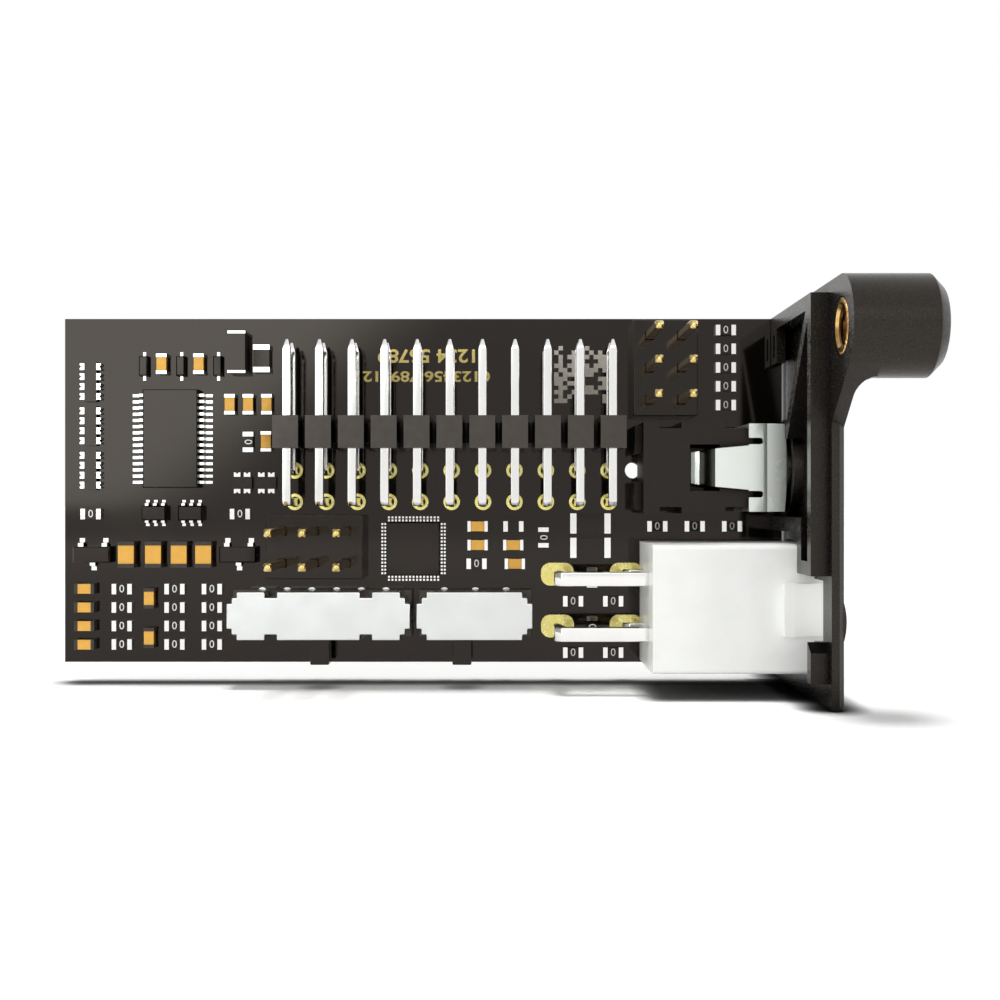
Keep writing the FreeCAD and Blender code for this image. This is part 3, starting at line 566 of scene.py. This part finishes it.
def number_tree():
    """One printed number standing on each point, turned in the board's plane."""
    tree, given = new_tree("chip_numbers", Number=("String", "0"), Size=("Float", 0.0006),
                           Turn=("Float", 0.0))
    words = add(tree, "GeometryNodeStringToCurves", {"String": given["Number"], "Size": given["Size"]},
                align_x="CENTER", align_y="MIDDLE")
    outline = add(tree, "GeometryNodeRealizeInstances", {"Geometry": words.outputs["Curve Instances"]})
    filled = add(tree, "GeometryNodeFillCurve", {"Curve": outline.outputs["Geometry"]})
    turn = add(tree, "ShaderNodeCombineXYZ", {"X": quarter, "Y": given["Turn"], "Z": 0.0}).outputs[0]
    return close_tree(tree, given, on_points(tree, given, filled.outputs["Mesh"], turn))


def cell_tree():
    """A square patch of printed cells, some left out by chance from a fixed seed."""
    tree, given = new_tree("cell_patch", Cell=("Float", 0.0004), Columns=("Int", 10), Rows=("Int", 10),
                           Share=("Float", 0.55), Seed=("Int", 7), Place=("Vector", (0, 0, 0)))
    sizes = []
    for count in ("Columns", "Rows"):
        gaps = sum_of(tree, "SUBTRACT", given[count], 1.0)
        sizes.append(sum_of(tree, "MULTIPLY", gaps, given["Cell"]))
    grid = add(tree, "GeometryNodeMeshGrid", {
        "Size X": sizes[0], "Size Y": sizes[1],
        "Vertices X": given["Columns"], "Vertices Y": given["Rows"],
    })
    chance = add(tree, "FunctionNodeRandomValue", {"Probability": given["Share"], "Seed": given["Seed"]},
                 data_type="BOOLEAN")
    drawn = [s for s in chance.outputs if s.enabled][0]
    tile = add(tree, "GeometryNodeMeshGrid", {
        "Size X": given["Cell"], "Size Y": given["Cell"], "Vertices X": 2, "Vertices Y": 2,
    })
    cells = add(tree, "GeometryNodeInstanceOnPoints", {
        "Points": grid.outputs["Mesh"], "Selection": drawn, "Instance": tile.outputs["Mesh"],
    })
    whole = add(tree, "GeometryNodeRealizeInstances", {"Geometry": cells.outputs["Instances"]})
    stood = add(tree, "GeometryNodeTransform", {
        "Geometry": whole.outputs["Geometry"],
        "Rotation": (quarter, 0, 0), "Translation": given["Place"],
    })
    return close_tree(tree, given, stood.outputs["Geometry"])


def grow(name, points, tree, material, slot, **sizes):
    """Runs a tree on these points and keeps its result as a plain mesh."""
    mesh = bpy.data.meshes.new(name)
    mesh.from_pydata(points, [], [])
    piece = bpy.data.objects.new(name, mesh)
    bpy.context.scene.collection.objects.link(piece)
    run = piece.modifiers.new("grow", "NODES")
    run.node_group = tree
    sizes["Finish"] = material
    for item in tree.interface.items_tree:
        if item.in_out == "INPUT" and item.name in sizes:
            run[item.identifier] = sizes[item.name]
    plain_mesh(piece)
    return settle(piece)


# Pieces

slot_of = {row["node"]: row["material_slot"] for row in frame["record"]["subparts"]}
for node, thing in frame["nodes"].items():
    thing.data.materials.clear()
    thing.data.materials.append(finishes[slot_of[node]])

frame["nodes"]["processor_leads"].data.materials[0] = bent_lead_tin("processor_bodies")

edge_breaks = {
    "end_bracket": 0.07, "jack_body": 0.06, "jack_earth_clip": 0.06,
    "selector_frame": 0.08, "mode_frame": 0.08, "selector_base": 0.08, "mode_base": 0.08,
    "long_header_body": 0.03, "jack_contacts": 0.03,
    "stack_header_body_a": 0.07, "stack_header_body_b": 0.07,
    "long_header_lower_pins": 0.05, "long_header_upper_pins": 0.05,
    "stack_header_pins_a": 0.2, "stack_header_pins_b": 0.2,
    "power_lower_terminals": 0.1, "power_upper_terminals": 0.1,
}
# the jack's contacts take hole_shade: painted shade in the notches where they sit
own_finish = {
    "jack_body": jack_plastic, "jack_contacts": hole_shade, "jack_earth_clip": clip_sheet,
    "long_header_body": long_header_plastic,
    "selector_base": switch_plastic, "mode_base": switch_plastic,
}
for node, width in edge_breaks.items():
    softened(node, width, material=own_finish.get(node))
softened("capacitor_leads", 0, keep=lambda spot: not in_dark_end_corner(spot))
softened("capacitor_leads", 0, name="dull_capacitor_leads", material=dark_end_tin, keep=in_dark_end_corner)
softened("large_capacitor_leads", 0, material=dark_end_tin)
for lever in ("selector_lever", "mode_lever"):
    softened(lever, 0.1, lever)


def paint_faces(piece, material, chosen):
    """A second finish on the faces that are chosen by the way they face, used for painted shade and painted
    highlights.
    """
    mesh = bpy.data.objects[piece].data
    mesh.materials.append(material)
    for face in mesh.polygons:
        if chosen(face.normal):
            face.material_index = len(mesh.materials) - 1


# painted shade on the jack body's faces that turn towards its rear
paint_faces("jack_body_shape", hole_shade, lambda way: way.x < -rear_lean)
# the clip's roll, turned right and to the front, takes a painted highlight; its dip, turned left, takes
# painted shade
paint_faces("jack_earth_clip_shape", roll_highlight_sheet, lambda way: way.x > roll_lean and way.y < -front_lean)
paint_faces("jack_earth_clip_shape", dip_shade_sheet, lambda way: -end_lean < way.x < -roll_lean)

pads = pad_tree()
joints = joint_tree()
numbers = number_tree()


def ring_pads(name, tails, size, material=pad_gold, stretch=1.0, front=True):
    """Rings behind the board, and on the component face where they show there."""
    spots = [Vector((t.x, board_high.y + pad_thick * mm / 2, t.z)) for t in tails]
    if front:
        spots += [Vector((t.x, board_low.y - pad_thick * mm / 2, t.z)) for t in tails]
    grow(name, spots, pads, material, "gold", Outer=size[0] * mm, Inner=size[1] * mm,
         Thick=pad_thick * mm, Stretch=stretch)


def solder_joints(name, tails, size):
    spots = [Vector((t.x, board_high.y, t.z)) for t in tails]
    grow(name, spots, joints, solder, "tin", Foot=size[0] * mm, Neck=size[1] * mm, Height=size[2] * mm)


header_tails = tails_of("long_header_lower_pins", "long_header_upper_pins")
stack_tails = tails_of("stack_header_pins_a", "stack_header_pins_b")
power_tails = tails_of("power_lower_terminals", "power_upper_terminals")
switch_tails = tails_of("selector_tails", "mode_tails")
jack_tails = tails_of("jack_contacts", "jack_earth_clip")
ring_pads("header_pads", header_tails + stack_tails, header_pad)
# painted shade: black rings inside the header pads for the shaded hole mouths round the pins
ring_pads("header_holes", header_tails, header_hole, hole_shade)
ring_pads("power_pads", power_tails, power_pad, stretch=power_pad_stretch, front=False)
power_feet = [Vector((t.x, board_low.y, t.z)) for t in power_tails]
grow("long_power_pads", power_feet, long_pad_tree(), pad_gold, "gold", Long=long_pad[0] * mm,
     Wide=long_pad[1] * mm, Corner=long_pad[2] * mm, Thick=pad_thick * mm)
ring_pads("switch_pads", switch_tails, switch_pad, solder)
ring_pads("jack_pads", jack_tails, jack_pad, front=False)
solder_joints("header_solder", header_tails + stack_tails, header_joint)
solder_joints("power_solder", power_tails, power_joint)
solder_joints("switch_solder", switch_tails, switch_joint)
solder_joints("jack_solder", jack_tails, jack_joint)


def chip_numbers():
    """A plain number on each chip resistor but one, turned with its chip."""
    upright = []
    turned = []
    bare = on_board(*bare_chip)
    for low, high in solids_of("resistor_bodies"):
        middle = (low + high) / 2
        if (Vector((middle.x, 0, middle.z)) - Vector((bare.x, 0, bare.z))).length < mm:
            continue
        spot = Vector((middle.x, low.y - ink_thick * mm, middle.z))
        (turned if high.z - low.z > high.x - low.x else upright).append(spot)
    size = chip_mark * mm
    for name, spots, turn in (("resistor_numbers", upright, 0.0), ("turned_numbers", turned, quarter)):
        grow(name, spots, numbers, ink_white, "ceramic_black", Number="0", Size=size, Turn=turn)


chip_numbers()


def printed_line(name, words, centre, size):
    """A line of plain numbers in yellow, head down, drawn out to its measured box."""
    letters = bpy.data.curves.new(name, "FONT")
    letters.body = words
    letters.align_x = "CENTER"
    letters.offset = stroke_bold
    letters.extrude = stroke_thick
    maker = bpy.data.objects.new(name, letters)
    bpy.context.scene.collection.objects.link(maker)
    mesh = bpy.data.meshes.new_from_object(maker.evaluated_get(bpy.context.evaluated_depsgraph_get()))
    bpy.data.objects.remove(maker)
    low = Vector(min(v.co[i] for v in mesh.vertices) for i in range(3))
    high = Vector(max(v.co[i] for v in mesh.vertices) for i in range(3))
    wide, tall, thick = high - low
    mesh.transform(Matrix.Translation(-(low + high) / 2))
    fit = (size[0] * mm / wide, size[1] * mm / tall, ink_thick * mm / thick, 1)
    mesh.transform(Matrix.Diagonal(fit))
    mesh.transform(Matrix.Rotation(math.pi, 4, "Y") @ Matrix.Rotation(quarter, 4, "X"))
    mesh.transform(Matrix.Translation(on_board(*centre, ink_thick / 2)))
    settle(link(name, mesh, ink_yellow))


printed_line("printed_line_one", **line_one)
printed_line("printed_line_two", **line_two)
grow("cell_patch", [], cell_tree(), ink_pale, "black_board", Cell=patch_cell * mm, Columns=patch_columns,
     Rows=patch_rows, Place=on_board(*patch_centre, ink_thick))


def threaded_sleeve():
    """Brass insert: knurled outside, faced and chamfered at its mouth, with a cut thread in its bore."""
    low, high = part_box("threaded_insert")
    axis_y = (low.y + high.y) / 2
    axis_z = (low.z + high.z) / 2
    outer = (high.z - low.z) / 2
    bore = outer - sleeve_wall * mm
    steps = sleeve_steps
    length = high.x - low.x

    def knurl(angle):
        wave = abs((angle * knurl_teeth / (2 * math.pi)) % 1 - 0.5) * 2
        return outer - knurl_deep * mm * min(1, max(0, wave * 2 - knurl_flat))

    def thread(along):
        def radius(angle):
            wave = abs((along / (thread_pitch * mm) - angle / (2 * math.pi)) % 1 - 0.5) * 2
            return bore + thread_deep * mm * (wave - 0.5)
        return radius

    def plain(value):
        return lambda angle: value

    mouth = mouth_deep * mm
    rings = [(length, knurl), (knurl_start * mm, knurl), (0.0, lambda angle: knurl(angle) - mouth_edge * mm),
             (0.0, plain(bore + mouth_flare * mm)), (mouth, plain(bore + thread_deep * mm * 0.5))]
    bored = len(rings) - 1
    cuts = int(length / (thread_pitch * mm) * cuts_to_a_turn)
    for i in range(1, cuts + 1):
        along = mouth + (length - mouth) * i / cuts
        rings.append((along, thread(along)))
    verts = []
    for along, radius in rings:
        for step in range(steps):
            angle = 2 * math.pi * step / steps
            reach = radius(angle)
            beside_axis = (axis_y + reach * math.cos(angle), axis_z + reach * math.sin(angle))
            verts.append((low.x + along, *beside_axis))
    faces = []
    for ring in range(len(rings)):
        here = ring * steps
        there = (ring + 1) % len(rings) * steps
        for step in range(steps):
            beside = (step + 1) % steps
            faces.append((here + step, here + beside, there + beside, there + step))
    mesh = bpy.data.meshes.new("threaded_sleeve")
    mesh.from_pydata(verts, [], faces)
    bm = bmesh.new()
    bm.from_mesh(mesh)
    bmesh.ops.recalc_face_normals(bm, faces=bm.faces)
    bm.to_mesh(mesh)
    bm.free()
    piece = link("threaded_sleeve", mesh, finishes["brass_insert"])
    # painted shade: the bore's faces take the darker shaded brass
    mesh.materials.append(shaded_brass)
    for face in mesh.polygons:
        face.material_index = 1 if face.index >= bored * steps else 0
    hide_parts("threaded_insert")
    settle(piece)


threaded_sleeve()


# Stage: lengths in metres, levels as a share of white

floor_reach = 3.0
floor_lift = 1.1
# how far the painted contact shade on the floor reaches, how steeply it darkens and how many rays it takes
contact_reach = 0.0024
contact_depth = 5.0
contact_rays = 16
sheen_side = Vector((-0.619, 0.153, 0.7705))
sheen_soft = 0.03
sheen_level = 2.4
sheen_tone = (0.95, 1.0, 0.99, 1.0)
sheen_cone = (-0.86, -0.93)
flank_reach = 0.6
flank_fade = (0.3, 0.9)
white = (1, 1, 1, 1)
card_middle = (0.0, 0.0, 0.015)


def camera_ray(tree):
    """One where a surface is looked at straight."""
    return add(tree, "ShaderNodeLightPath").outputs["Is Camera Ray"]


def seen_ray(tree):
    """One where a surface is looked at straight, in a mirror or through glass."""
    path = add(tree, "ShaderNodeLightPath").outputs
    mirrored = sum_of(tree, "MAXIMUM", path["Is Camera Ray"], path["Is Glossy Ray"])
    return sum_of(tree, "MAXIMUM", mirrored, path["Is Transmission Ray"])


def plain_floor():
    """White paper that keeps the shadows, with painted shade where the card comes near; what the camera sees
    of it is lifted to white.
    """
    mesh = bpy.data.meshes.new("floor")
    corners = [(x * floor_reach, y * floor_reach, 0) for x, y in ((-1, -1), (1, -1), (1, 1), (-1, 1))]
    mesh.from_pydata(corners, [], [(0, 1, 2, 3)])
    paper = finish(
        "white_paper", tone(246, 246, 245), tone(249, 249, 249), 40.0, (0.85, 0.95), 2.0, 0.001,
        Specular_IOR_Level=0.0)
    tree, shader, paint = paint_of(paper)
    lift = add(tree, "ShaderNodeMapRange", {
        "Value": camera_ray(tree), "To Min": 1.0, "To Max": floor_lift,
    }).outputs["Result"]
    # painted shade: the floor's colour darkens where the card closes in above it
    contact = open_share(tree, contact_reach, contact_depth, contact_rays)
    tree.links.new(scaled(tree, scaled(tree, paint, lift), contact), shader.inputs["Base Color"])
    link("floor", mesh, paper)


def soft_light(name, place, size, level, mirrored=True):
    """A square lamp turned to the card, in reflections too unless it is kept out of them."""
    lamp = bpy.data.lights.new(name, "AREA")
    lamp.shape = "SQUARE"
    lamp.size = size
    lamp.energy = level * math.pi * size * size
    holder = bpy.data.objects.new(name, lamp)
    holder.location = place
    holder.visible_glossy = mirrored
    holder.rotation_euler = (Vector(card_middle) - Vector(place)).to_track_quat("-Z", "Y").to_euler()
    bpy.context.scene.collection.objects.link(holder)


def top_light(level, soft):
    """Even light straight down, which sets the shadow under the card."""
    lamp = bpy.data.lights.new("top_light", "SUN")
    lamp.energy = level * math.pi
    lamp.angle = math.radians(soft)
    holder = bpy.data.objects.new("top_light", lamp)
    holder.visible_glossy = False
    bpy.context.scene.collection.objects.link(holder)


def white_room(horizon, overhead, left, right):
    """White where it is seen, brighter at the upper left in reflections, and lit from above."""
    world = bpy.data.worlds.new("white_room")
    world.use_nodes = True
    bpy.context.scene.world = world
    tree = world.node_tree
    way = add(tree, "ShaderNodeTexCoord").outputs["Generated"]
    across, front, up = add(tree, "ShaderNodeSeparateXYZ", {"Vector": way}).outputs
    lean = add(tree, "ShaderNodeVectorMath", {0: way, 1: sheen_side}, operation="DOT_PRODUCT")
    side = lean.outputs["Value"]
    glow = add(tree, "ShaderNodeMapRange", {
        "Value": side, "From Min": -sheen_soft, "From Max": sheen_soft, "To Max": sheen_level,
    }, interpolation_type="SMOOTHSTEP").outputs["Result"]
    ahead = add(tree, "ShaderNodeMapRange", {
        "Value": front, "From Min": sheen_cone[0], "From Max": sheen_cone[1],
    }, interpolation_type="SMOOTHSTEP").outputs["Result"]
    sheen = sum_of(tree, "MULTIPLY", glow, ahead)
    flank = add(tree, "ShaderNodeMapRange", {
        "Value": across, "From Min": -flank_reach, "From Max": flank_reach, "To Min": left, "To Max": right,
    }).outputs["Result"]
    along = add(tree, "ShaderNodeMath", {0: front}, operation="ABSOLUTE").outputs["Value"]
    around = add(tree, "ShaderNodeMapRange", {
        "Value": along, "From Min": flank_fade[0], "From Max": flank_fade[1], "To Min": flank, "To Max": 1.0,
    }, interpolation_type="SMOOTHSTEP").outputs["Result"]
    mirrored = sum_of(tree, "ADD", sheen, around)
    lit = add(tree, "ShaderNodeMapRange", {
        "Value": up, "To Min": horizon, "To Max": overhead,
    }).outputs["Result"]
    seen = seen_ray(tree)
    straight = camera_ray(tree)
    strength = blended(tree, straight, blended(tree, seen, lit, mirrored), 1.0)
    tinted = sum_of(tree, "MULTIPLY", sheen, sum_of(tree, "SUBTRACT", seen, straight))
    room = tree.nodes["Background"].inputs
    tree.links.new(mixed(tree, tinted, white, sheen_tone), room["Color"])
    tree.links.new(strength, room["Strength"])


def photo_camera():
    camera = bpy.data.objects.new("camera", bpy.data.cameras.new("camera"))
    camera.location = (camera_x, board_low.y - camera_away, camera_z)
    camera.rotation_euler = (quarter, 0, 0)
    camera.data.lens = camera_lens
    camera.data.sensor_width = camera_sensor
    camera.data.clip_start = camera_near
    bpy.context.scene.collection.objects.link(camera)
    bpy.context.scene.camera = camera


plain_floor()
white_room(horizon=0.35, overhead=0.4, left=0.4, right=1.2)
top_light(level=0.65, soft=12.0)
soft_light("left_box", place=(-0.2, -0.3, 0.16), size=0.3, level=1.8, mirrored=False)
soft_light("left_fill", place=(-0.4, -0.03, 0.06), size=0.3, level=0.8, mirrored=False)
soft_light("right_box", place=(0.3, -0.16, 0.06), size=0.12, level=5.0)
photo_camera()
bpy.context.scene.view_settings.view_transform = "Standard"
